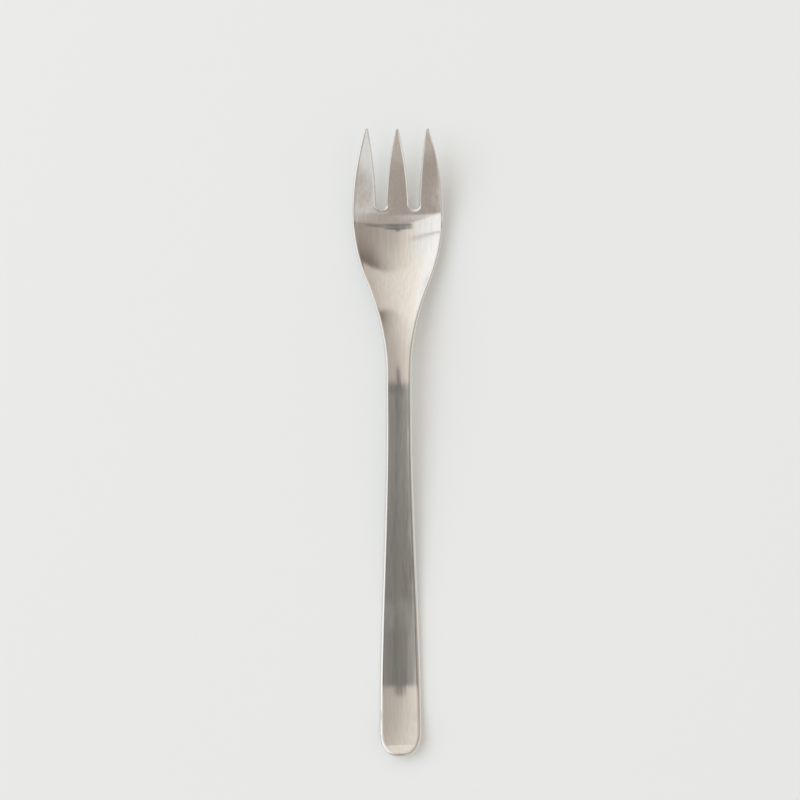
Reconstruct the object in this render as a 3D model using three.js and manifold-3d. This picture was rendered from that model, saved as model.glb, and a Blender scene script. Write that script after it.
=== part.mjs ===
// A three-tined table fork, pressed from one blank of stainless steel, in millimetres.
// It lies on its back with the hollow side up: +Y points to the tines, +Z is up, and the
// heel of the head and a flat under the handle rest on Z = 0. Distances along the fork are
// measured back from the tine tips.
import * as THREE from "three";
import { mergeVertices } from "three/addons/utils/BufferGeometryUtils.js";
import Module from "manifold-3d";

// Plan outline
const overallLength = 185;
const headWidth = 27;
const headWidestFromTips = 25;
const shoulderWidth = 18.6;
const shoulderFromTips = 45;
const shoulderFlare = 0.4;
const neckWidth = 7.8;
const neckFromTips = 72;
const neckLength = 12;
const handleWidth = 12.5;
const tailRoundLength = 8;
const tailRoundPower = 2.4;

// Tines and the slots between them
const tineCount = 3;
const tineLength = 22.8;
const tipSpacing = 8.9;
const tipRadius = 0.45;
const tipFlare = 0.36;
const slotWidth = 2.85;
const slotSpacing = 9.7;
const slotDraft = 0.25;
const slotCornerRadius = 1.1;

// Side view of the underside: a chain of parabolas that run into one another
const tipHeight = 13;
const tineCurl = 0.25;
const heelFromTips = 30;
const heelBlend = 6;
const throatBlend = 14;
const throatStraight = 6;
const crestRise = 18;
const crestHeight = 5.8;
const crestFall = 12;
const restBlend = 14;
const restLength = 13;
const tailCurlLength = 22;
const tailLift = 3.2;

// Gauge of the metal, and how far its edges are rounded off in plan
const tipThickness = 0.9;
const heelThickness = 1.9;
const crestThickness = 3.3;
const tailThickness = 2.4;
const headEdge = 0.75;
const crestEdge = 0.9;
const tailEdge = 1.25;

// Hollows pressed into the upper side
const tipDish = 0.8;
const headDish = 3.2;
const neckDish = 0.15;
const crestGroove = 0.2;
const tailGroove = 0.55;
const grooveEndFromTail = 1.2;
const grooveEndSlope = 0.25;

// Fineness of the facets
const sectionPitch = 2.2;
const rimSteps = 6;
const faceSteps = 8;
const tailSteps = 9;
const curveSteps = 8;
const weld = 0.001;

// What is left of the blank past the tips until the tines are trimmed
const trimAllowance = 1.5;

const tailRoundStart = overallLength - tailRoundLength;
const outerTip = (tipSpacing * (tineCount - 1)) / 2;
// where the side line, drawn on past the round of the outer tip, would meet the tip line
const tipCorner = outerTip + tipRadius * (Math.hypot(1, tipFlare) - tipFlare);

// A smooth curve through knots [place, value, slope], one cubic between each two
function through(knots) {
  return (s) => {
    const after = knots.findIndex((knot) => knot[0] >= s);
    const end = after < 0 ? knots.length - 1 : Math.max(after, 1);
    const [s0, v0, m0] = knots[end - 1];
    const [s1, v1, m1] = knots[end];
    const span = s1 - s0;
    const u = (s - s0) / span;
    const ease = u * u * (3 - 2 * u);
    const bulge = u * (1 - u) * (m0 * (1 - u) - m1 * u);
    return v0 + (v1 - v0) * ease + span * bulge;
  };
}

// The height reached along straight-line changes of slope, from zero at the given place
function integrated(slopes, origin) {
  const heightTo = (s) => {
    let height = 0;
    for (let i = 1; i < slopes.length; i += 1) {
      const [s0, m0] = slopes[i - 1];
      const [s1, m1] = slopes[i];
      const u = THREE.MathUtils.clamp((s - s0) / (s1 - s0), 0, 1);
      height += u * (s1 - s0) * (m0 + ((m1 - m0) * u) / 2);
    }
    return height;
  };
  return (s) => heightTo(s) - heightTo(origin);
}

// Half the width of the outline, before the tail is rounded
const sideLine = through([
  [-trimAllowance, tipCorner - trimAllowance * tipFlare, tipFlare],
  [0, tipCorner, tipFlare],
  [headWidestFromTips, headWidth / 2, 0],
  [shoulderFromTips, shoulderWidth / 2, -shoulderFlare],
  [neckFromTips, neckWidth / 2, 0],
  [neckFromTips + neckLength, neckWidth / 2, 0],
  [tailRoundStart, handleWidth / 2, 0],
  [overallLength, handleWidth / 2, 0],
]);

function halfWidth(s) {
  const u = Math.max(0, (s - tailRoundStart) / tailRoundLength);
  return sideLine(s) * (1 - u ** tailRoundPower) ** (1 / tailRoundPower);
}

// The steepest slopes follow from the heights that each stretch has to reach
const tineRun = heelFromTips - heelBlend;
const tineSlope = tipHeight / (heelBlend / 2 + tineRun * (1 + tineCurl / 2));
const throatStart = heelFromTips + throatBlend;
const throatEnd = throatStart + throatStraight;
const crestFromTips = throatEnd + crestRise;
const throatSlope = crestHeight / (throatBlend / 2 + throatStraight + crestRise / 2);
const restEnd = overallLength - tailCurlLength;
const restStart = restEnd - restLength;
const handleStart = crestFromTips + crestFall;
const handleEnd = restStart - restBlend;
const handleSlope = crestHeight / (crestFall / 2 + handleEnd - handleStart + restBlend / 2);
const tailSlope = (2 * tailLift) / tailCurlLength;

const underside = integrated(
  [
    [-trimAllowance, -tineSlope * (1 + tineCurl)],
    [0, -tineSlope * (1 + tineCurl)],
    [tineRun, -tineSlope],
    [heelFromTips, 0],
    [throatStart, throatSlope],
    [throatEnd, throatSlope],
    [crestFromTips, 0],
    [handleStart, -handleSlope],
    [handleEnd, -handleSlope],
    [restStart, 0],
    [restEnd, 0],
    [overallLength, tailSlope],
  ],
  heelFromTips,
);

const thickness = through([
  [-trimAllowance, tipThickness, 0],
  [0, tipThickness, 0],
  [heelFromTips, heelThickness, 0],
  [crestFromTips, crestThickness, 0],
  [overallLength, tailThickness, 0],
]);

const edge = through([
  [-trimAllowance, headEdge, 0],
  [heelFromTips, headEdge, 0],
  [crestFromTips, crestEdge, 0],
  [overallLength, tailEdge, 0],
]);

// How far the sides of the section stand above its middle, on both faces
const dish = through([
  [-trimAllowance, tipDish, 0],
  [0, tipDish, 0],
  [heelFromTips, headDish, 0],
  [crestFromTips, neckDish, 0],
  [restStart, 0, 0],
  [overallLength, 0, 0],
]);

// How much deeper the groove is on the upper face alone; a ramp ends it just before the tail
const grooveDepth = through([
  [-trimAllowance, 0, 0],
  [heelFromTips, 0, 0],
  [crestFromTips, crestGroove, 0],
  [overallLength, tailGroove, 0],
]);

function groove(s) {
  const ramp = Math.max(0, overallLength - grooveEndFromTail - s) * grooveEndSlope;
  return Math.min(grooveDepth(s), ramp);
}

// One closed section of the blank, counter-clockwise seen from the tail
function section(s) {
  const width = halfWidth(s);
  const rim = Math.min(edge(s), width);
  const flat = width - rim;
  const tailLeft = Math.min(1, (overallLength - s) / edge(s));
  const fullness = Math.sqrt(1 - (1 - tailLeft) ** 2);
  const gauge = thickness(s);
  const low = underside(s);
  const y = overallLength / 2 - s;
  // lift runs from -1 on the lower face to 1 on the upper one
  const point = (x, lift) => {
    const across = (x / sideLine(s)) ** 2;
    const bottom = low + dish(s) * across;
    const half = (gauge - groove(s) * (1 - across)) / 2;
    return new THREE.Vector3(x, y, bottom + half * (1 + lift * fullness));
  };
  const rimPoints = (side, from, to) => {
    const points = [];
    for (let i = 0; i <= rimSteps; i += 1) {
      const angle = from + ((to - from) * i) / rimSteps;
      points.push(point(side * (flat + rim * Math.cos(angle)), Math.sin(angle)));
    }
    return points;
  };
  const facePoints = (from, lift) => {
    const points = [];
    for (let i = 1; i < faceSteps; i += 1) {
      points.push(point(from * (1 - (2 * i) / faceSteps), lift));
    }
    return points;
  };
  const quarter = Math.PI / 2;
  return [
    ...rimPoints(1, -quarter, quarter),
    ...facePoints(flat, 1),
    ...rimPoints(-1, quarter, -quarter),
    ...facePoints(-flat, -1),
  ];
}

// Skin over sections that follow each other from the tips to the tail
function loft(sections, front, back) {
  const count = sections[0].length;
  const index = [];
  const last = (sections.length - 1) * count;
  const frontPoint = sections.length * count;
  const backPoint = frontPoint + 1;
  for (let j = 0; j < count; j += 1) {
    const k = (j + 1) % count;
    index.push(frontPoint, k, j, backPoint, last + j, last + k);
    for (let base = 0; base < last; base += count) {
      index.push(base + j, base + k, base + count + j);
      index.push(base + k, base + count + k, base + count + j);
    }
  }
  const geometry = new THREE.BufferGeometry();
  geometry.setFromPoints([...sections.flat(), front, back]);
  geometry.setIndex(index);
  return geometry;
}

function blank() {
  const places = [];
  const reach = tailRoundStart + trimAllowance;
  const steps = Math.ceil(reach / sectionPitch);
  for (let i = 0; i < steps; i += 1) {
    places.push(-trimAllowance + (reach * i) / steps);
  }
  for (let i = 0; i < tailSteps; i += 1) {
    const angle = ((i / tailSteps) * Math.PI) / 2;
    places.push(tailRoundStart + tailRoundLength * Math.sin(angle));
  }
  const sections = places.map(section);
  const frontHeight = underside(-trimAllowance) + tipThickness / 2;
  return loft(
    sections,
    new THREE.Vector3(0, overallLength / 2 + trimAllowance, frontHeight),
    new THREE.Vector3(0, -overallLength / 2, tailLift + tailThickness / 2),
  );
}

// What is cut away in front of the tines and between them, seen from above
function trimOutline() {
  const tipY = overallLength / 2;
  const rootY = tipY - tineLength;
  const centreY = tipY - tipRadius;
  const corner = Math.min(slotCornerRadius, slotWidth / 2);
  const wallStart = rootY + corner;
  const midWall = (wallStart + centreY) / 2;
  const tipX = (tine) => (tine - (tineCount - 1) / 2) * tipSpacing;
  const slotX = (slot) => (slot - (tineCount - 2) / 2) * slotSpacing;
  const outerLean = Math.atan(tipFlare);
  // the lean of a tine's side where it runs into the round of the tip
  const lean = (tine, bendX) => {
    return Math.atan((Math.abs(bendX - tipX(tine)) - tipRadius) / (centreY - midWall));
  };
  const clear = trimAllowance + tipRadius;
  const outline = new THREE.Shape();
  outline.moveTo(tipX(tineCount - 1) + clear, tipY + clear);
  outline.lineTo(tipX(0) - clear, tipY + clear);
  for (let tine = 0; tine < tineCount; tine += 1) {
    const leftBend = slotX(tine - 1) + slotWidth / 2 + slotDraft;
    const rightWall = slotX(tine) - slotWidth / 2;
    const rightBend = rightWall - slotDraft;
    const first = tine === 0;
    const final = tine === tineCount - 1;
    const leftLean = first ? outerLean : lean(tine, leftBend);
    const rightLean = final ? outerLean : lean(tine, rightBend);
    if (!first) {
      const meetX = tipX(tine) - tipRadius * Math.cos(leftLean);
      const meetY = centreY + tipRadius * Math.sin(leftLean);
      outline.quadraticCurveTo(leftBend, midWall, meetX, meetY);
    }
    outline.absarc(tipX(tine), centreY, tipRadius, Math.PI - leftLean, rightLean, true);
    if (!final) {
      const nextWall = rightWall + slotWidth;
      outline.quadraticCurveTo(rightBend, midWall, rightWall, wallStart);
      outline.absarc(rightWall + corner, wallStart, corner, Math.PI, 1.5 * Math.PI, false);
      outline.absarc(nextWall - corner, wallStart, corner, 1.5 * Math.PI, 2 * Math.PI, false);
    }
  }
  const points = outline.getPoints(curveSteps);
  const apart = (point, i) => i === 0 || point.distanceTo(points[i - 1]) > weld;
  return new THREE.Shape(points.filter(apart));
}

function trim() {
  const depth = 2 * (tipHeight + crestHeight);
  const geometry = new THREE.ExtrudeGeometry(trimOutline(), { depth, bevelEnabled: false });
  return geometry.translate(0, 0, -depth / 4);
}

const wasm = await Module();
wasm.setup();

function solid(geometry) {
  geometry.deleteAttribute("normal");
  geometry.deleteAttribute("uv");
  const merged = mergeVertices(geometry);
  const mesh = new wasm.Mesh({
    numProp: 3,
    vertProperties: new Float32Array(merged.attributes.position.array),
    triVerts: new Uint32Array(merged.index.array),
  });
  return new wasm.Manifold(mesh);
}

function surface(cut) {
  const mesh = cut.getMesh();
  const geometry = new THREE.BufferGeometry();
  geometry.setAttribute("position", new THREE.BufferAttribute(mesh.vertProperties, mesh.numProp));
  geometry.setIndex(new THREE.BufferAttribute(mesh.triVerts, 1));
  geometry.computeVertexNormals();
  return geometry;
}

const steel = new THREE.MeshStandardMaterial({ color: 0xb8b1a8, metalness: 1, roughness: 0.3 });

const fork = new THREE.Mesh(surface(solid(blank()).subtract(solid(trim()))), steel);
fork.name = "fork";

const tableFork = new THREE.Group();
tableFork.add(fork);

export default tableFork;
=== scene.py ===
"""Table fork: the dressed model of a three-tined pressed steel fork on a pale table top."""

import logging
import math
from dataclasses import dataclass, field
from enum import Enum
from typing import Any

import bmesh
import bpy
import numpy as np
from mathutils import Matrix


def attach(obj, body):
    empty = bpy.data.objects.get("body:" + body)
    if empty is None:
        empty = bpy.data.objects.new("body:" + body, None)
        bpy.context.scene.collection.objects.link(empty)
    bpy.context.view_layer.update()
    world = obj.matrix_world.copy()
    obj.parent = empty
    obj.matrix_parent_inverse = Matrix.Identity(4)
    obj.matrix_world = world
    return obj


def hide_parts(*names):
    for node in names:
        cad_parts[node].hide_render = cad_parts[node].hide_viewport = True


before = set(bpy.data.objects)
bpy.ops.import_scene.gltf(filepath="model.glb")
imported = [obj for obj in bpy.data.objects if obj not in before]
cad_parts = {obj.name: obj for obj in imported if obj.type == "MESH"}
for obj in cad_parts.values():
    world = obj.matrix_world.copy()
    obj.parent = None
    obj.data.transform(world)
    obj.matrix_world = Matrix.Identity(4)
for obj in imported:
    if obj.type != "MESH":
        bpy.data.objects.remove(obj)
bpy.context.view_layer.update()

MM = 0.001
OVERALL_LENGTH_MM = 185.0
# points that round to the same step are welded
WELD_STEPS_PER_MM = 1e4
# how much surface one UV unit spans
UV_SPAN_MM = 200.0
# stands for the half width where no tine narrows the rim
NO_TINE_HALF_MM = 50.0
log = logging.getLogger("table_fork")


class Face(Enum):
    """The two broad faces of the blank, as the sign of the way they look."""

    UPPER = 1.0
    LOWER = -1.0


def linear(colour: str) -> tuple[float, float, float, float]:
    """Turn an sRGB hex colour into linear RGBA.

    Args:
        colour: six hex digits after a hash.

    Returns:
        The linear colour, opaque.
    """
    parts = np.array([int(colour[i:i + 2], 16) for i in (1, 3, 5)]) / 255
    low = parts / 12.92
    high = ((parts + 0.055) / 1.055) ** 2.4
    red, green, blue = np.where(parts <= 0.04045, low, high)
    return float(red), float(green), float(blue), 1.0


def add_node(tree: bpy.types.NodeTree, kind: str, inputs: dict[Any, Any] | None = None,
             **settings: Any) -> bpy.types.Node:
    """Add a node, set its properties, and set or link its sockets.

    Args:
        tree: the node tree that gets the node.
        kind: the node's type name.
        inputs: socket name or number to a value, or to the socket that feeds it.
        settings: the node's own properties.

    Returns:
        The new node.
    """
    node = tree.nodes.new(kind)
    for name, value in settings.items():
        setattr(node, name, value)
    for key, value in (inputs or {}).items():
        if isinstance(value, bpy.types.NodeSocket):
            tree.links.new(value, node.inputs[key])
        else:
            node.inputs[key].default_value = value
    return node


@dataclass(frozen=True)
class SmoothCurve:
    """A curve through knots of place, value and slope, one cubic between each two."""

    knots: tuple[tuple[float, float, float], ...]

    def __call__(self, place: np.ndarray) -> np.ndarray:
        """Value of the cubic Hermite spline: the eased step plus the bulge of the end slopes.

        Args:
            place: distances along the fork.

        Returns:
            The curve's value at each distance.
        """
        knot, value, slope = np.array(self.knots).T
        end = np.clip(np.searchsorted(knot, place), 1, len(knot) - 1)
        span = knot[end] - knot[end - 1]
        u = (place - knot[end - 1]) / span
        ease = u * u * (3 - 2 * u)
        bulge = u * (1 - u) * (slope[end - 1] * (1 - u) - slope[end] * u)
        return value[end - 1] + (value[end] - value[end - 1]) * ease + span * bulge


@dataclass(frozen=True)
class SlopeChain:
    """A height line given by its slopes at knots, which change evenly between them."""

    slopes: tuple[tuple[float, float], ...]
    origin: float

    def reach(self, place: np.ndarray) -> np.ndarray:
        """Sum of the parabola pieces from the first knot up to each place.

        Args:
            place: distances along the fork.

        Returns:
            The heights above the first knot.
        """
        knot, slope = np.array(self.slopes).T
        span = np.diff(knot)
        u = np.clip((np.asarray(place)[..., None] - knot[:-1]) / span, 0, 1)
        return (u * span * (slope[:-1] + np.diff(slope) * u / 2)).sum(axis=-1)

    def __call__(self, place: np.ndarray) -> np.ndarray:
        """Height at each place, zero at the origin."""
        return self.reach(place) - self.reach(np.asarray(self.origin))


@dataclass
class PlanOutline:
    """The fork seen from above, in mm; distances run back from the tine tips."""

    overall_length: float = OVERALL_LENGTH_MM
    head_width: float = 27.0
    head_widest: float = 25.0
    shoulder_width: float = 18.6
    shoulder: float = 45.0
    shoulder_flare: float = 0.4
    neck_width: float = 7.8
    neck: float = 72.0
    neck_length: float = 12.0
    handle_width: float = 12.5
    tail_round: float = 8.0
    tail_power: float = 2.4
    tine_length: float = 22.8
    tip_spacing: float = 8.9
    tip_radius: float = 0.45
    tip_flare: float = 0.36
    slot_width: float = 2.85
    slot_spacing: float = 9.7
    slot_draft: float = 0.25
    slot_corner: float = 1.1

    @property
    def tip_y(self) -> float:
        """The tips' place in the model's frame."""
        return self.overall_length / 2

    @property
    def tail_start(self) -> float:
        """Where the rounding of the tail begins."""
        return self.overall_length - self.tail_round

    def side_line(self, s: np.ndarray) -> np.ndarray:
        """Half width before the tail is rounded: a smooth curve through the measured widths.

        Args:
            s: distances back from the tips.

        Returns:
            The distances from the centre line to the side.
        """
        steep = math.hypot(1, self.tip_flare) - self.tip_flare
        tip = self.tip_spacing + self.tip_radius * steep
        curve = SmoothCurve((
            (0, tip, self.tip_flare),
            (self.head_widest, self.head_width / 2, 0),
            (self.shoulder, self.shoulder_width / 2, -self.shoulder_flare),
            (self.neck, self.neck_width / 2, 0),
            (self.neck + self.neck_length, self.neck_width / 2, 0),
            (self.tail_start, self.handle_width / 2, 0),
            (self.overall_length, self.handle_width / 2, 0),
        ))
        return curve(s)

    def tail_arc(self, angle: np.ndarray) -> np.ndarray:
        """Plan points of the tail's superellipse.

        The width goes with the cosine and the reach with the sine of the angle, each to the
        power of 2 over the tail's power.

        Args:
            angle: from 0 at the side to a quarter turn at the end of the tail.

        Returns:
            The points, one row of x and y each.
        """
        power = 2 / self.tail_power
        x = self.handle_width / 2 * np.abs(np.cos(angle)) ** power
        s = self.tail_start + self.tail_round * np.sin(angle) ** power
        return np.stack([x, self.tip_y - s], axis=-1)

    def side(self, y: np.ndarray) -> np.ndarray:
        """Plan points of the right-hand side line at the given places."""
        return np.stack([self.side_line(self.tip_y - y), y], axis=-1)


@dataclass
class SideProfile:
    """Heights and gauges along the fork, in mm; distances run back from the tine tips."""

    overall_length: float = OVERALL_LENGTH_MM
    tip_height: float = 13.0
    tine_curl: float = 0.25
    heel: float = 30.0
    heel_blend: float = 6.0
    throat_blend: float = 14.0
    throat_straight: float = 6.0
    crest_rise: float = 18.0
    crest_height: float = 5.8
    crest_fall: float = 12.0
    rest_blend: float = 14.0
    rest_length: float = 13.0
    tail_curl: float = 22.0
    tail_lift: float = 3.2
    tip_thickness: float = 0.9
    heel_thickness: float = 1.9
    crest_thickness: float = 3.3
    tail_thickness: float = 2.4
    head_edge: float = 0.75
    crest_edge: float = 0.9
    tail_edge: float = 1.25
    tip_dish: float = 0.8
    head_dish: float = 3.2
    neck_dish: float = 0.15
    crest_groove: float = 0.2
    tail_groove: float = 0.55
    groove_end: float = 1.2
    groove_end_slope: float = 0.25

    @property
    def crest(self) -> float:
        """Where the arch is highest."""
        return self.heel + self.throat_blend + self.throat_straight + self.crest_rise

    @property
    def rest_start(self) -> float:
        """Where the flat that the handle rests on begins."""
        return self.overall_length - self.tail_curl - self.rest_length

    def underside(self, s: np.ndarray) -> np.ndarray:
        """Height of the lower face: parabolas that join straight slopes, zero at the heel.

        Args:
            s: distances back from the tips.

        Returns:
            The heights on the centre line.
        """
        tine_run = self.heel - self.heel_blend
        tine = self.tip_height / (self.heel_blend / 2 + tine_run * (1 + self.tine_curl / 2))
        throat_start = self.heel + self.throat_blend
        throat_end = throat_start + self.throat_straight
        rise = self.throat_blend / 2 + self.throat_straight + self.crest_rise / 2
        throat = self.crest_height / rise
        handle_start = self.crest + self.crest_fall
        handle_end = self.rest_start - self.rest_blend
        fall = self.crest_fall / 2 + handle_end - handle_start + self.rest_blend / 2
        handle = self.crest_height / fall
        chain = SlopeChain((
            (0, -tine * (1 + self.tine_curl)),
            (tine_run, -tine),
            (self.heel, 0),
            (throat_start, throat),
            (throat_end, throat),
            (self.crest, 0),
            (handle_start, -handle),
            (handle_end, -handle),
            (self.rest_start, 0),
            (self.rest_start + self.rest_length, 0),
            (self.overall_length, 2 * self.tail_lift / self.tail_curl),
        ), self.heel)
        return chain(s)

    def along(self, tip: float, heel: float, crest: float, tail: float) -> SmoothCurve:
        """A level-ended curve through one value each at the tip, heel, crest and tail."""
        return SmoothCurve((
            (0, tip, 0), (self.heel, heel, 0), (self.crest, crest, 0),
            (self.overall_length, tail, 0),
        ))

    def edge(self, s: np.ndarray) -> np.ndarray:
        """How far the edges are rounded off in plan."""
        return self.along(self.head_edge, self.head_edge, self.crest_edge, self.tail_edge)(s)

    def middle(self, s: np.ndarray, across: np.ndarray) -> tuple[np.ndarray, np.ndarray]:
        """Height of the middle of the sheet and half its gauge.

        The dish lifts both faces with the square of the distance from the centre line; the
        groove thins the sheet by what is left of that square.

        Args:
            s: distances back from the tips.
            across: distances from the centre line as a share of the half width.

        Returns:
            The middle heights and the half gauges.
        """
        square = np.minimum(across ** 2, 1)
        gauge = self.along(self.tip_thickness, self.heel_thickness,
                           self.crest_thickness, self.tail_thickness)(s)
        ramp = np.maximum(self.overall_length - self.groove_end - s, 0) * self.groove_end_slope
        groove = np.minimum(self.along(0, 0, self.crest_groove, self.tail_groove)(s), ramp)
        dish = SmoothCurve((
            (0, self.tip_dish, 0), (self.heel, self.head_dish, 0),
            (self.crest, self.neck_dish, 0),
            (self.rest_start, 0, 0), (self.overall_length, 0, 0),
        ))(s)
        half = (gauge - groove * (1 - square)) / 2
        return self.underside(s) + dish * square + half, half


def inset(line: np.ndarray, depth: np.ndarray) -> np.ndarray:
    """Move an outline to its left by the given depths, along its normals.

    Args:
        line: plan points in order.
        depth: how far each point moves.

    Returns:
        The moved points.
    """
    way = np.gradient(line, axis=0)
    way /= np.linalg.norm(way, axis=1, keepdims=True)
    return line + depth[:, None] * np.stack([-way[:, 1], way[:, 0]], axis=-1)


def bezier(start: np.ndarray, control: np.ndarray, end: np.ndarray, count: int) -> np.ndarray:
    """Points of a quadratic curve: the three points weighted by (1-t)^2, 2t(1-t) and t^2."""
    t = np.linspace(0, 1, count + 1)[:, None]
    return (1 - t) ** 2 * start + 2 * t * (1 - t) * control + t ** 2 * end


def arc(centre: tuple[float, float], radius: float, first: float, last: float,
        count: int) -> np.ndarray:
    """Points of a circle's arc from one angle to another."""
    angle = np.linspace(first, last, count + 1)
    return np.array(centre) + radius * np.stack([np.cos(angle), np.sin(angle)], axis=-1)


def ruled(first: np.ndarray, second: np.ndarray, count: int) -> np.ndarray:
    """Grid of straight rows from the points of one line to those of another."""
    share = np.linspace(0, 1, count + 1)[None, :, None]
    return first[:, None] * (1 - share) + second[:, None] * share


@dataclass
class RimLine:
    """A stretch of the outline in plan, and the line where its rim meets the faces."""

    outer: np.ndarray
    inner: np.ndarray


@dataclass
class SurfaceParts:
    """Grids of points that together close the fork's surface."""

    points: list[np.ndarray] = field(default_factory=list)
    rims: list[np.ndarray] = field(default_factory=list)

    def add(self, grid: np.ndarray, rim: np.ndarray) -> None:
        """Keep a grid and its mirror image across the centre plane."""
        self.points += [grid, grid * np.array([-1.0, 1.0, 1.0])]
        self.rims += [rim, rim]

    def weld(self) -> tuple[np.ndarray, np.ndarray, np.ndarray, np.ndarray]:
        """Join all grids into one surface.

        Every grid cell gives one quad; points nearer than a tenth of a micron become one.

        Returns:
            Points in mm, quads, a UV pair for each corner and the rim share of each point.
        """
        points, rims, quads, uvs = [], [], [], []
        start = 0
        for grid, rim in zip(self.points, self.rims):
            rows, columns = grid.shape[:2]
            index = start + np.arange(rows * columns).reshape(rows, columns)
            quads.append(np.stack([index[:-1, :-1], index[:-1, 1:], index[1:, 1:],
                                   index[1:, :-1]], axis=-1).reshape(-1, 4))
            length = np.linalg.norm(np.diff(grid, axis=0), axis=-1).mean(axis=1)
            width = np.linalg.norm(np.diff(grid, axis=1), axis=-1).mean(axis=0)
            v, u = np.meshgrid(np.append(0, length.cumsum()), np.append(0, width.cumsum()),
                               indexing="ij")
            uvs.append(np.stack([u, v], axis=-1).reshape(-1, 2))
            points.append(grid.reshape(-1, 3))
            rims.append(rim.reshape(-1))
            start += rows * columns
        corners = np.concatenate(quads)
        flat = np.concatenate(points)
        rounded = np.round(flat * WELD_STEPS_PER_MM).astype(np.int64)
        _, first, same = np.unique(rounded, axis=0, return_index=True, return_inverse=True)
        uv = np.concatenate(uvs)[corners] / UV_SPAN_MM
        return flat[first], same.reshape(-1)[corners], uv, np.concatenate(rims)[first]


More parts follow.
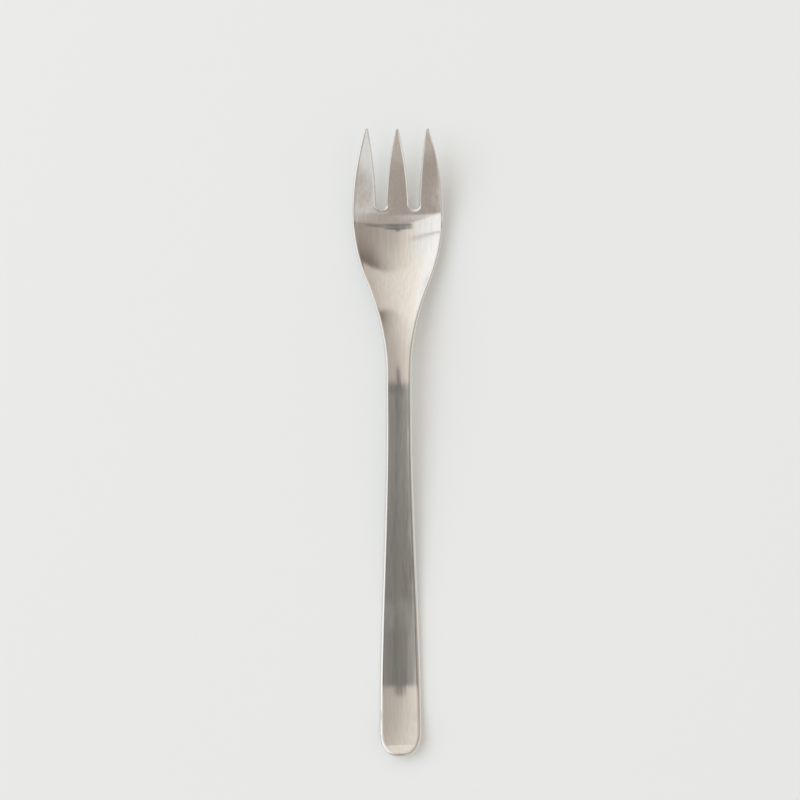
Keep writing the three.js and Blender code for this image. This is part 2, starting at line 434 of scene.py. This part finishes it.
@dataclass(frozen=True)
class SatinSteel:
    """Stainless steel, rolled, pressed and brushed along its length, with polished edges.

    Brushing along the fork blurs reflections sideways more than lengthwise and leaves fine
    pale and dark streaks; the edges are polished smoother, and a painted highlight makes them
    whiter.
    The real brush lines are about 0.05 mm apart; they are drawn some ten times coarser, so
    that they show. Widths, lengths and depths are in mm.
    """

    pale: str = "#DBD8D4"
    dull: str = "#D5D2CE"
    # painted highlight: the whiter colour that the rims are mixed towards
    rim_highlight: str = "#F2F0ED"
    streak_width: float = 0.5
    streak_length: float = 26.0
    streak_detail: float = 3.0
    streak_depth: float = 0.006
    wave_width: float = 2.4
    wave_length: float = 15.0
    wave_detail: float = 1.0
    wave_depth: float = 0.03
    blotch: float = 11.0
    blotch_detail: float = 2.0
    noise_fall: float = 0.55
    shade_from: tuple[float, float] = (0.25, 0.75)
    shade_to: tuple[float, float] = (0.94, 1.04)
    gloss_from: tuple[float, float] = (0.3, 0.7)
    smooth: float = 0.105
    rough: float = 0.14
    edge_polish: float = 0.03
    brushing: float = 0.5

    def pattern(self, tree: bpy.types.NodeTree, width: float, length: float,
                detail: float) -> bpy.types.NodeSocket:
        """Noise stretched along the fork.

        Args:
            tree: the material's node tree.
            width: size of the features across the fork.
            length: their size along the fork.
            detail: how many finer layers the noise has.

        Returns:
            The socket that gives the noise.
        """
        place = add_node(tree, "ShaderNodeTexCoord").outputs["Object"]
        scale = (1 / (width * MM), 1 / (length * MM), 1 / (width * MM))
        mapped = add_node(tree, "ShaderNodeMapping", {"Vector": place, "Scale": scale})
        noise = add_node(tree, "ShaderNodeTexNoise", {
            "Vector": mapped.outputs["Vector"], "Scale": 1.0, "Detail": detail,
            "Roughness": self.noise_fall})
        return noise.outputs["Fac"]

    def tint(self, tree: bpy.types.NodeTree, streak: bpy.types.NodeSocket,
             rim: bpy.types.NodeSocket) -> bpy.types.NodeSocket:
        """Colour of the steel: mottled, streaked by the brush, with a painted highlight on the
        rim.

        Args:
            tree: the material's node tree.
            streak: the brush lines.
            rim: how far round the rim a point lies.

        Returns:
            The socket that gives the colour.
        """
        blotch = self.pattern(tree, self.blotch, self.blotch, self.blotch_detail)
        mottled = add_node(tree, "ShaderNodeMix", {
            0: blotch, 6: linear(self.dull), 7: linear(self.pale)}, data_type="RGBA")
        shade = add_node(tree, "ShaderNodeMapRange", {
            "Value": streak, "From Min": self.shade_from[0], "From Max": self.shade_from[1],
            "To Min": self.shade_to[0], "To Max": self.shade_to[1]})
        brushed = add_node(tree, "ShaderNodeMix", {
            0: 1.0, 6: mottled.outputs[2], 7: shade.outputs["Result"]},
            data_type="RGBA", blend_type="MULTIPLY")
        # painted highlight: the rim share mixes the steel towards a whiter colour
        colour = add_node(tree, "ShaderNodeMix", {
            0: rim, 6: brushed.outputs[2], 7: linear(self.rim_highlight)}, data_type="RGBA")
        return colour.outputs[2]

    def gloss(self, tree: bpy.types.NodeTree, streak: bpy.types.NodeSocket,
              rim: bpy.types.NodeSocket) -> bpy.types.NodeSocket:
        """Roughness of the steel, which goes with the streaks and is less on the rim.

        Args:
            tree: the material's node tree.
            streak: the brush lines.
            rim: how far round the rim a point lies.

        Returns:
            The socket that gives the roughness.
        """
        brushed = add_node(tree, "ShaderNodeMapRange", {
            "Value": streak, "From Min": self.gloss_from[0], "From Max": self.gloss_from[1],
            "To Min": self.smooth, "To Max": self.rough})
        worn = add_node(tree, "ShaderNodeMath", {
            0: rim, 1: -self.edge_polish, 2: brushed.outputs["Result"]},
            operation="MULTIPLY_ADD")
        return worn.outputs[0]

    def relief(self, tree: bpy.types.NodeTree,
               streak: bpy.types.NodeSocket) -> bpy.types.NodeSocket:
        """Normals of the faint waves left by the press, with the brush lines on them.

        Args:
            tree: the material's node tree.
            streak: the brush lines.

        Returns:
            The socket that gives the normals.
        """
        wave = self.pattern(tree, self.wave_width, self.wave_length, self.wave_detail)
        wavy = add_node(tree, "ShaderNodeBump", {
            "Height": wave, "Strength": 1.0, "Distance": self.wave_depth * MM})
        lined = add_node(tree, "ShaderNodeBump", {
            "Height": streak, "Strength": 1.0, "Distance": self.streak_depth * MM,
            "Normal": wavy.outputs["Normal"]})
        return lined.outputs["Normal"]

    def material(self) -> bpy.types.Material:
        """Build the node material.

        Returns:
            The finished material.
        """
        material = bpy.data.materials.new("satin_stainless_steel")
        material.use_nodes = True
        tree = material.node_tree
        tree.nodes.clear()
        streak = self.pattern(tree, self.streak_width, self.streak_length, self.streak_detail)
        rim = add_node(tree, "ShaderNodeAttribute", attribute_name="rim").outputs["Fac"]
        across = add_node(tree, "ShaderNodeTangent", direction_type="UV_MAP", uv_map="brush")
        shader = add_node(tree, "ShaderNodeBsdfPrincipled", {
            "Base Color": self.tint(tree, streak, rim), "Metallic": 1.0,
            "Roughness": self.gloss(tree, streak, rim), "Anisotropic": self.brushing,
            "Normal": self.relief(tree, streak), "Tangent": across.outputs["Tangent"]})
        add_node(tree, "ShaderNodeOutputMaterial", {"Surface": shader.outputs["BSDF"]})
        return material


@dataclass
class TableFork:
    """The whole fork: one pressed piece with a dished head, three tines and a long handle."""

    plan: PlanOutline = field(default_factory=PlanOutline)
    profile: SideProfile = field(default_factory=SideProfile)
    finish: SatinSteel = field(default_factory=SatinSteel)
    centre_columns: int = 9
    slot_columns: int = 9
    outer_columns: int = 12
    tail_rows: int = 14
    body_rows: int = 300
    corner_rows: int = 5
    wall_rows: int = 76
    rim_rows: int = 14
    tine_share: float = 0.62
    rim_power: float = 4.0

    @property
    def body_steps(self) -> int:
        """Steps of the body's grid, from the tail's corner to the slot roots."""
        return self.tail_rows + self.body_rows

    def lift(self, plan: np.ndarray, level: np.ndarray | float) -> np.ndarray:
        """Raise plan points to the surface.

        Args:
            plan: x and y of each point.
            level: -1 on the lower face, 1 on the upper one, and between them on the rim.

        Returns:
            The points with their heights: the middle of the sheet plus level half gauges.
        """
        s = self.plan.tip_y - plan[..., 1]
        middle, half = self.profile.middle(s, plan[..., 0] / self.plan.side_line(s))
        return np.concatenate([plan, (middle + half * level)[..., None]], axis=-1)

    def rim_depth(self, line: np.ndarray,
                  half: np.ndarray | float = NO_TINE_HALF_MM) -> np.ndarray:
        """Width of the rounded rim in plan: the edge rounding, less where a tine is narrow.

        It is a soft minimum of the rounding and a share of the half width: the sum of both
        to a high negative power, taken to the power's inverse.

        Args:
            line: plan points of the outline.
            half: half the width of the tine at each point.

        Returns:
            The widths.
        """
        edge = self.profile.edge(self.plan.tip_y - line[:, 1])
        share = self.tine_share * np.asarray(half)
        power = self.rim_power
        return (edge ** -power + share ** -power) ** (-1 / power)

    def add_faces(self, parts: SurfaceParts, plan: np.ndarray) -> None:
        """Put the upper and the lower face over one plan grid."""
        for face in Face:
            parts.add(self.lift(plan, face.value), np.zeros(plan.shape[:2]))

    def add_rim(self, parts: SurfaceParts, rim: RimLine) -> None:
        """Carry the rim's half ellipse along an outline, from the upper to the lower face.

        In plan the profile goes from the inner to the outer line with the cosine of the
        turn, and between the faces with its sine.

        Args:
            parts: the grids so far.
            rim: the stretch of the outline.
        """
        turn = np.linspace(math.pi / 2, -math.pi / 2, self.rim_rows + 1)
        reach = (rim.outer - rim.inner)[:, None]
        plan = rim.inner[:, None] + reach * np.cos(turn)[None, :, None]
        share = np.broadcast_to(np.cos(turn), plan.shape[:2])
        parts.add(self.lift(plan, np.sin(turn)[None]), share)

    def slot_lines(self) -> tuple[np.ndarray, np.ndarray, np.ndarray]:
        """Outline of the right-hand slot, from the middle tine's tip to the outer one's.

        Each wall is a quadratic curve from the tip's round to the corner; a corner is a
        quarter circle, cut in two at its middle, where wall and bottom part.

        Returns:
            The middle tine's wall from the tip down, the bottom from left to right, and the
            outer tine's wall from the corner up.
        """
        plan = self.plan
        centre_y = plan.tip_y - plan.tip_radius
        start_y = plan.tip_y - plan.tine_length + plan.slot_corner
        control_y = (start_y + centre_y) / 2
        left = (plan.slot_spacing - plan.slot_width) / 2
        right = left + plan.slot_width
        walls = []
        for wall, tip, sign in ((left, 0.0, 1.0), (right, plan.tip_spacing, -1.0)):
            bend = wall - sign * plan.slot_draft
            lean = math.atan((abs(bend - tip) - plan.tip_radius) / (centre_y - control_y))
            meet = np.array([tip + sign * plan.tip_radius * math.cos(lean),
                             centre_y + plan.tip_radius * math.sin(lean)])
            walls.append(bezier(meet, np.array([bend, control_y]), np.array([wall, start_y]),
                                self.wall_rows))
        eighth = math.pi / 4
        left_centre = (left + plan.slot_corner, start_y)
        right_centre = (right - plan.slot_corner, start_y)
        radius = plan.slot_corner
        turn = self.slot_columns // 3
        flat = self.slot_columns - 2 * turn
        left_wall = np.concatenate([
            walls[0], arc(left_centre, radius, 4 * eighth, 5 * eighth, self.corner_rows)[1:]])
        bottom_left = arc(left_centre, radius, 5 * eighth, 6 * eighth, turn)
        bottom_right = arc(right_centre, radius, 6 * eighth, 7 * eighth, turn)
        level = np.linspace(bottom_left[-1], bottom_right[0], flat + 1)
        bottom = np.concatenate([bottom_left, level[1:], bottom_right[1:]])
        right_wall = np.concatenate([
            arc(right_centre, radius, 7 * eighth, 8 * eighth, self.corner_rows),
            walls[1][::-1][1:]])
        return left_wall, bottom, right_wall

    def outer_half(self, wall: np.ndarray) -> np.ndarray:
        """Half the width of the outer tine beside each point of its inner wall."""
        return (self.plan.side(wall[:, 1])[:, 0] - wall[:, 0]) / 2

    def slot_rims(self) -> tuple[RimLine, RimLine, RimLine]:
        """Rims round the right-hand slot.

        Their depths follow the half widths of the tines beside the slot.

        Returns:
            The middle tine's wall from the root up, the bottom from left to right, and the
            outer tine's wall from the root up.
        """
        left, bottom, right = self.slot_lines()
        slot = np.concatenate([left, bottom[1:-1], right])
        half = np.concatenate([left[:, 0], np.full(len(bottom) - 2, NO_TINE_HALF_MM),
                               self.outer_half(right)])
        inner = inset(slot, -self.rim_depth(slot, half))
        start = len(left) - 1
        end = start + len(bottom)
        return (RimLine(left[::-1], inner[:start + 1][::-1]),
                RimLine(bottom, inner[start:end]), RimLine(right, inner[end - 1:]))

    def side_points(self, wall: RimLine) -> tuple[np.ndarray, np.ndarray]:
        """Outline of the right-hand side, from the tail's corner to the outer tip.

        Args:
            wall: the outer tine's inner wall, whose rows the side takes over.

        Returns:
            The plan points and the depth of the rim at each.
        """
        plan = self.plan
        lean = math.atan(plan.tip_flare)
        tip_y = plan.tip_y - plan.tip_radius * (1 - math.sin(lean))
        root_y = wall.inner[0, 1]
        reach = wall.inner[:, 1] - root_y
        tine_y = root_y + reach * (tip_y - root_y) / reach[-1]
        body_y = np.linspace(plan.tip_y - plan.tail_start, root_y, self.body_rows + 1)
        corner = plan.tail_arc(np.linspace(math.pi / 4, 0, self.tail_rows + 1))
        side = np.concatenate([corner, plan.side(body_y[1:]), plan.side(tine_y[1:])])
        half = np.concatenate([np.full(self.body_steps, NO_TINE_HALF_MM),
                               self.outer_half(wall.outer)])
        return side, self.rim_depth(side, half)

    def column_shares(self, bottom: RimLine, edge: float) -> np.ndarray:
        """Place of each column as a share of the half width, which it keeps along the body.

        Args:
            bottom: the slot's bottom, whose ends part the columns into three groups.
            edge: the half width inside the rim where the body ends.

        Returns:
            The shares, from 0 at the centre line to 1 at the rim.
        """
        left, right = bottom.inner[0, 0], bottom.inner[-1, 0]
        return np.concatenate([
            np.linspace(0, left, self.centre_columns + 1)[:-1],
            np.linspace(left, right, self.slot_columns + 1)[:-1],
            np.linspace(right, edge, self.outer_columns + 1),
        ]) / edge

    def side_rims(self, bottom: RimLine,
                  wall: RimLine) -> tuple[np.ndarray, RimLine, RimLine, RimLine]:
        """Rims of the right half's outer edge, from the end of the tail to the outer tip.

        Args:
            bottom: the slot's bottom.
            wall: the outer tine's inner wall.

        Returns:
            The columns' shares of the half width, and the rims of the tail's arc, of the
            body's side and of the outer tine's side.
        """
        side, depth = self.side_points(wall)
        last = self.body_steps
        shares = self.column_shares(bottom, inset(side, depth)[last, 0])
        reach = shares * side[0, 0] / (self.plan.handle_width / 2)
        tail = self.plan.tail_arc(np.arccos(reach ** (self.plan.tail_power / 2)))
        outline = np.concatenate([tail, side[1:]])
        inner = inset(outline, np.concatenate([self.rim_depth(tail), depth[1:]]))
        # the end of the tail lies on the centre plane, where both halves meet
        tail[0, 0] = inner[0, 0] = 0.0
        start = len(tail) - 1
        end = start + last
        return (shares, RimLine(tail, inner[:start + 1]),
                RimLine(side[:last + 1], inner[start:end + 1]),
                RimLine(side[last:], inner[end:]))

    def body_grid(self, shares: np.ndarray, tail: RimLine, side: RimLine,
                  bottom: RimLine) -> np.ndarray:
        """Plan grid of the body, pulled to the tail's arc and to the slot roots at its ends.

        The pull fades with the square of the rows left, over twice the rows of the tail.

        Args:
            shares: the columns' shares of the half width.
            tail: the rim of the tail's arc.
            side: the rim of the body's side.
            bottom: the slot's bottom.

        Returns:
            The plan points, by row and column.
        """
        last = self.body_steps
        rows = np.broadcast_to(side.inner[:, 1:], (last + 1, len(shares)))
        body = np.stack([shares * side.inner[:, :1], rows], axis=-1)
        root = body[-1].copy()
        first = self.centre_columns
        final = first + self.slot_columns
        root[:first, 1] = bottom.inner[0, 1]
        root[first:final + 1] = bottom.inner
        root[final:] = np.linspace(bottom.inner[-1], side.inner[-1], self.outer_columns + 1)
        step = np.arange(last + 1)[:, None, None]
        fade = 2 * self.tail_rows
        near_tail = np.clip(1 - step / fade, 0, 1) ** 2
        near_root = np.clip(1 - (last - step) / fade, 0, 1) ** 2
        return body + near_tail * (tail.inner - body[0]) + near_root * (root - body[-1])

    def tip_arcs(self, middle_end: np.ndarray,
                 outer_end: np.ndarray) -> tuple[np.ndarray, np.ndarray]:
        """Rounds of the tips of the middle tine's right half and of the outer tine.

        Args:
            middle_end: where the middle tine's wall meets its round.
            outer_end: where the outer tine's inner wall meets its round.

        Returns:
            The middle round from the centre line on, and the outer one from the wall on.
        """
        spacing, radius = self.plan.tip_spacing, self.plan.tip_radius
        centre_y = self.plan.tip_y - radius
        end = math.atan2(middle_end[1] - centre_y, middle_end[0])
        middle = arc((0.0, centre_y), radius, math.pi / 2, end, self.centre_columns)
        middle[0, 0] = 0.0
        start = math.atan2(outer_end[1] - centre_y, outer_end[0] - spacing)
        outer = arc((spacing, centre_y), radius, start, math.atan(self.plan.tip_flare),
                    self.outer_columns)
        return middle, outer

    def surface(self) -> SurfaceParts:
        """Lay grids over the right half of the fork and mirror them.

        The body is one grid from the tail's arc to the slot roots, the half middle tine and
        the outer tine are one grid each, and a rim runs round their outline.

        Returns:
            The grids of the closed surface.
        """
        parts = SurfaceParts()
        middle_wall, bottom, outer_wall = self.slot_rims()
        shares, tail, side, tine = self.side_rims(bottom, outer_wall)
        spine = middle_wall.inner * np.array([0.0, 1.0])
        body = self.body_grid(shares, tail, side, bottom)
        middle = ruled(spine, middle_wall.inner, self.centre_columns)
        outer = ruled(outer_wall.inner, tine.inner, self.outer_columns)
        for grid in (body, middle, outer):
            self.add_faces(parts, grid)
        middle_tip, outer_tip = self.tip_arcs(middle_wall.outer[-1], outer_wall.outer[-1])
        for rim in (tail, side, tine, RimLine(outer_tip, outer[-1]), outer_wall, bottom,
                    middle_wall, RimLine(middle_tip, middle[-1])):
            self.add_rim(parts, rim)
        return parts

    def build(self) -> bpy.types.Object:
        """Make the mesh object: welded, closed, smooth and facing outwards.

        Returns:
            The fork's object, at the origin.
        """
        points, quads, uv, rim = self.surface().weld()
        mesh = bpy.data.meshes.new("fork_body")
        mesh.from_pydata((points * MM).tolist(), [], quads.tolist())
        mesh.uv_layers.new(name="brush").data.foreach_set("uv", uv.ravel().astype(np.float32))
        layer = mesh.attributes.new("rim", "FLOAT", "POINT")
        layer.data.foreach_set("value", rim.astype(np.float32))
        work = bmesh.new()
        work.from_mesh(mesh)
        bmesh.ops.recalc_face_normals(work, faces=work.faces)
        open_edges = sum(not edge.is_manifold for edge in work.edges)
        log.info("fork surface: %d quads, %d open edges", len(work.faces), open_edges)
        work.to_mesh(mesh)
        work.free()
        mesh.shade_smooth()
        fork = bpy.data.objects.new("fork_body", mesh)
        bpy.context.scene.collection.objects.link(fork)
        return fork

    def dress(self) -> bpy.types.Object:
        """Build the fork, give it its finish and put it in the place of the CAD solid.

        Returns:
            The finished piece.
        """
        fork = self.build()
        fork.data.materials.append(self.finish.material())
        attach(fork, "root")
        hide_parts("fork")
        return fork


class Along(Enum):
    """What an edge in the room is measured by; leans are tangents from the zenith."""

    SIDE = "lean to the right"
    LENGTH = "lean towards the tines"
    UNEVEN = "lean towards the tines, roughened a little"
    RIGHT = "part of the direction that points right"
    UP = "part of the direction that points up"
    SPOTS = "soft noise"


class Ease(Enum):
    """How a share changes across an edge, as the node's own setting."""

    SOFT = "SMOOTHERSTEP"
    EVEN = "LINEAR"


@dataclass(frozen=True)
class Edge:
    """A blurred edge, across which a share goes from 0 at its start to 1 where it is full.

    With a slope the edge runs askew: slope times the lean to the right is taken off first.
    """

    along: Along
    start: float
    full: float
    ease: Ease = Ease.SOFT
    slope: float = 0.0


@dataclass(frozen=True)
class Bend:
    """An edge that goes over from one line to another across a third."""

    first: Edge
    second: Edge
    across: Edge


@dataclass(frozen=True)
class Zone:
    """A part of the room: a colour within edges, with zones laid over it in turn."""

    name: str
    colour: str
    edges: tuple[Edge | Bend, ...] = ()
    over: tuple["Zone", ...] = ()
    strength: float = 1.0


FRONT = Zone(
    "front wall", "#A39B95",
    (Bend(Edge(Along.UNEVEN, -0.29, -0.33), Edge(Along.UNEVEN, -0.15, -0.25, slope=0.52),
          Edge(Along.SIDE, -0.15, -0.3)),),
    over=(
        Zone("upper part", "#ADA59F", (Edge(Along.LENGTH, -0.78, -0.66),)),
        Zone("lower part", "#B8B1AA", (Edge(Along.LENGTH, -0.88, -1.02),)),
        Zone("paler right", "#C8C4BF", (Edge(Along.SIDE, 0.35, 0.95, Ease.EVEN),
                                        Edge(Along.LENGTH, -0.3, -0.85, Ease.EVEN))),
        Zone("far right", "#C8C4BF", (Edge(Along.SIDE, 0.8, 1.15),)),
        Zone("pale patch", "#DFE0DF", (Edge(Along.SIDE, 0.15, 0.3),
                                       Edge(Along.LENGTH, -0.72, -0.9))),
        Zone("pale band on the left", "#D8D5D1", (
            Edge(Along.SIDE, 0.15, -0.75, Ease.EVEN), Edge(Along.LENGTH, -0.76, -0.68),
            Edge(Along.LENGTH, -0.3, -0.6))),
        Zone("far end", "#DEDCD9", (Edge(Along.LENGTH, -1.25, -1.6),)),
    ))

PANEL = Zone(
    "dark panel over the handle", "#72706D",
    (Edge(Along.UNEVEN, -0.073, -0.093, slope=0.03), Edge(Along.UNEVEN, -0.32, -0.285),
     Edge(Along.SIDE, -0.34, -0.24), Edge(Along.SIDE, 0.3, 0.25)),
    over=(
        Zone("pale spots", "#979592", (
            Edge(Along.LENGTH, -0.12, -0.17), Edge(Along.LENGTH, -0.3, -0.2),
            Edge(Along.SPOTS, 0.3, 0.6))),
        Zone("paler left", "#A09E9B", (Edge(Along.SIDE, -0.02, -0.36),
                                       Edge(Along.LENGTH, -0.275, -0.21))),
    ))

LOW_WALLS = Zone(
    "low walls, which the rounded edges mirror", "#8F8B87", (Edge(Along.UP, 0.56, 0.42),),
    over=(
        Zone("right", "#D6D3D0", (Edge(Along.RIGHT, 0.6, 0.9), Edge(Along.UP, 0.12, 0.3))),
        Zone("left", "#F6F6F5", (Edge(Along.RIGHT, -0.65, -0.92), Edge(Along.UP, 0.12, 0.3))),
    ))

ROOM = Zone("ceiling", "#BEB7B0", over=(
    Zone("back of the ceiling", "#D3CCC5", (Edge(Along.LENGTH, 0.0, 0.55),)),
    Zone("shaded right", "#9E958E", (Edge(Along.SIDE, 0.0, 0.75, Ease.EVEN),), over=(
        Zone("dim corner", "#766D65", (Edge(Along.LENGTH, 0.1, 0.8),)),)),
    Zone("edge of the window", "#E4DDD6", (Edge(Along.SIDE, 0.05, -0.3, Ease.EVEN),)),
    Zone("window", "#EFF1F2", (Edge(Along.SIDE, -0.25, -0.65, Ease.EVEN),)),
    Zone("back wall", "#FFFAF4", (Edge(Along.UNEVEN, 0.55, 0.65, slope=0.15),), over=(
        Zone("dim right", "#C5BDB6", (Edge(Along.SIDE, -1.0, 1.0, Ease.EVEN),)),)),
    Zone("middle of the window", "#FBFDFF", (Edge(Along.SIDE, -0.6, -1.1),)),
    Zone("window bar", "#CDCAC7", (
        Edge(Along.LENGTH, 0.1, 0.13), Edge(Along.LENGTH, 0.2, 0.17),
        Edge(Along.SIDE, -0.2, -0.35))),
    FRONT,
    PANEL,
    Zone("knob", "#5F5D5B", (
        Edge(Along.UNEVEN, 0.0, -0.02), Edge(Along.LENGTH, -0.12, -0.1),
        Edge(Along.SIDE, -0.075, -0.05), Edge(Along.SIDE, 0.075, 0.05)), strength=0.75),
    Zone("faint spike", "#5F5D5B", (
        Edge(Along.UNEVEN, 0.085, 0.06), Edge(Along.LENGTH, -0.12, -0.1),
        Edge(Along.SIDE, -0.03, -0.012), Edge(Along.SIDE, 0.03, 0.012)), strength=0.1),
    Zone("arm to the right", "#86827E", (
        Edge(Along.UNEVEN, -0.135, -0.165), Edge(Along.UNEVEN, -0.295, -0.265),
        Edge(Along.SIDE, 0.26, 0.32), Edge(Along.SIDE, 0.85, 0.65))),
    LOW_WALLS,
))


@dataclass
class RoomPainter:
    """Turns zones into the nodes of a world, by the direction that is looked in."""

    tree: bpy.types.NodeTree
    lowest: float = 0.04
    spot_scale: float = 22.0
    spot_detail: float = 2.0
    unevenness: float = 0.05
    level: float = -0.015
    measures: dict[Along, bpy.types.NodeSocket] = field(init=False)

    def __post_init__(self) -> None:
        """Set up the measures: a lean is the part across over the part that points up."""
        tree = self.tree
        way = add_node(tree, "ShaderNodeTexCoord").outputs["Generated"]
        axes = add_node(tree, "ShaderNodeSeparateXYZ", {0: way}).outputs
        up = add_node(tree, "ShaderNodeMath", {0: axes["Z"], 1: self.lowest},
                      operation="MAXIMUM").outputs[0]
        side, length = (add_node(tree, "ShaderNodeMath", {0: axes[name], 1: up},
                                 operation="DIVIDE").outputs[0] for name in "XY")
        spots = add_node(tree, "ShaderNodeTexNoise", {
            "Vector": way, "Scale": self.spot_scale, "Detail": self.spot_detail}).outputs["Fac"]
        level = add_node(tree, "ShaderNodeMath", {0: length, 1: self.level}).outputs[0]
        uneven = add_node(tree, "ShaderNodeMath", {0: spots, 1: self.unevenness, 2: level},
                          operation="MULTIPLY_ADD").outputs[0]
        self.measures = {
            Along.SIDE: side, Along.LENGTH: length, Along.UNEVEN: uneven,
            Along.RIGHT: axes["X"], Along.UP: axes["Z"], Along.SPOTS: spots}

    def share(self, edge: Edge | Bend) -> bpy.types.NodeSocket:
        """How far a direction lies within an edge.

        Args:
            edge: the edge, straight or bent.

        Returns:
            The socket that gives the share, from 0 to 1.
        """
        if isinstance(edge, Bend):
            return add_node(self.tree, "ShaderNodeMix", {
                0: self.share(edge.across), 2: self.share(edge.first),
                3: self.share(edge.second)}, data_type="FLOAT").outputs[0]
        place = self.measures[edge.along]
        if edge.slope:
            place = add_node(self.tree, "ShaderNodeMath", {
                0: self.measures[Along.SIDE], 1: -edge.slope, 2: place},
                operation="MULTIPLY_ADD").outputs[0]
        return add_node(self.tree, "ShaderNodeMapRange", {
            "Value": place, "From Min": edge.start, "From Max": edge.full},
            interpolation_type=edge.ease.value).outputs["Result"]

    def paint(self, zone: Zone) -> Any:
        """Colour of a zone, covered in turn by each zone that lies over it.

        A zone covers by its strength times the shares of all its edges.

        Args:
            zone: the zone, with those over it.

        Returns:
            The colour, or the socket that gives it.
        """
        colour: Any = linear(zone.colour)
        for cover in zone.over:
            share: Any = cover.strength
            for edge in cover.edges:
                share = add_node(self.tree, "ShaderNodeMath", {0: share, 1: self.share(edge)},
                                 operation="MULTIPLY").outputs[0]
            mix = add_node(self.tree, "ShaderNodeMix", {
                0: share, 6: colour, 7: self.paint(cover)}, data_type="RGBA", label=cover.name)
            colour = mix.outputs[2]
        return colour


@dataclass
class Studio:
    """The pale table, the soft light from the left, the room above and the camera.

    Lengths are in m, but the view's are in mm, and the roll is in degrees.
    """

    table: str = "#EEEFEB"
    table_roughness: float = 0.9
    table_specular: float = 0.1
    table_glow: float = 0.2
    table_size: float = 12.0
    lamp: str = "#D8E7FF"
    lamp_watts: float = 17.4
    lamp_size: float = 1.42
    lamp_place: tuple[float, float, float] = (-1.23, 0.45, 1.71)
    room: Zone = ROOM
    room_strength: float = 1.35
    sensor_mm: float = 36.0
    camera_height: float = 0.8
    view_width: float = 238.0
    view_centre: tuple[float, float] = (0.4, 13.1)
    roll: float = -0.3

    def matt_paint(self) -> bpy.types.Material:
        """Build the table's material, which is matt with a little glow.

        The glow shows to the camera and in the steel, and lights nothing else.

        Returns:
            The finished material.
        """
        material = bpy.data.materials.new("matt_pale_table")
        material.use_nodes = True
        tree = material.node_tree
        tree.nodes.clear()
        shader = add_node(tree, "ShaderNodeBsdfPrincipled", {
            "Base Color": linear(self.table), "Roughness": self.table_roughness,
            "Specular IOR Level": self.table_specular})
        glow = add_node(tree, "ShaderNodeEmission", {"Color": linear(self.table)})
        rays = add_node(tree, "ShaderNodeLightPath").outputs
        seen = add_node(tree, "ShaderNodeMath", {
            0: rays["Is Camera Ray"], 1: rays["Is Glossy Ray"]}, operation="ADD", use_clamp=True)
        share = add_node(tree, "ShaderNodeMath", {
            0: seen.outputs[0], 1: self.table_glow}, operation="MULTIPLY")
        lit = add_node(tree, "ShaderNodeMixShader", {
            0: share.outputs[0], 1: shader.outputs["BSDF"], 2: glow.outputs["Emission"]})
        add_node(tree, "ShaderNodeOutputMaterial", {"Surface": lit.outputs["Shader"]})
        return material

    def lay_table(self) -> bpy.types.Object:
        """Lay the flat table top under the fork.

        Returns:
            The table top, which is part of the stage.
        """
        half = self.table_size / 2
        mesh = bpy.data.meshes.new("table_top")
        corner = np.array([[-half, -half], [half, -half], [half, half], [-half, half]])
        mesh.from_pydata(np.pad(corner, ((0, 0), (0, 1))).tolist(), [], [(0, 1, 2, 3)])
        mesh.materials.append(self.matt_paint())
        table = bpy.data.objects.new("table_top", mesh)
        bpy.context.scene.collection.objects.link(table)
        return table

    def hang_lamp(self) -> bpy.types.Object:
        """Hang the wide soft lamp on the left, aimed at the fork and not mirrored in it.

        Returns:
            The lamp.
        """
        light = bpy.data.lights.new("soft_lamp", "AREA")
        light.shape = "SQUARE"
        light.size = self.lamp_size
        light.energy = self.lamp_watts
        light.color = linear(self.lamp)[:3]
        lamp = bpy.data.objects.new("soft_lamp", light)
        lamp.location = self.lamp_place
        lamp.visible_glossy = False
        x, y, z = self.lamp_place
        lamp.rotation_euler = (0.0, math.atan2(math.hypot(x, y), z), math.atan2(y, x))
        bpy.context.scene.collection.objects.link(lamp)
        return lamp

    def paint_room(self) -> bpy.types.World:
        """Paint the room that the steel mirrors.

        Returns:
            The scene's world.
        """
        world = bpy.data.worlds.new("soft_room")
        world.use_nodes = True
        bpy.context.scene.world = world
        tree = world.node_tree
        tree.nodes.clear()
        shader = add_node(tree, "ShaderNodeBackground", {
            "Color": RoomPainter(tree).paint(self.room), "Strength": self.room_strength})
        add_node(tree, "ShaderNodeOutputWorld", {"Surface": shader.outputs["Background"]})
        return world

    def set_camera(self) -> bpy.types.Object:
        """Look straight down on the fork, with a lens that shows the view's width.

        Returns:
            The scene's camera.
        """
        data = bpy.data.cameras.new("camera")
        data.sensor_width = self.sensor_mm
        data.lens = data.sensor_width * self.camera_height / (self.view_width * MM)
        camera = bpy.data.objects.new("camera", data)
        camera.location = (self.view_centre[0] * MM, self.view_centre[1] * MM,
                           self.camera_height)
        camera.rotation_euler = (0.0, 0.0, math.radians(self.roll))
        bpy.context.scene.collection.objects.link(camera)
        bpy.context.scene.camera = camera
        return camera

    def build(self) -> None:
        """Set up the table, the light, the room and the camera."""
        self.lay_table()
        self.hang_lamp()
        self.paint_room()
        self.set_camera()
        bpy.context.scene.view_settings.view_transform = "Standard"


def main() -> None:
    """Build the studio and the fork."""
    logging.basicConfig(level=logging.INFO, format="%(name)s: %(message)s")
    Studio().build()
    piece = TableFork().dress()
    log.info("piece %s rides on root: %d points", piece.name, len(piece.data.vertices))


if __name__ == "__main__":
    main()
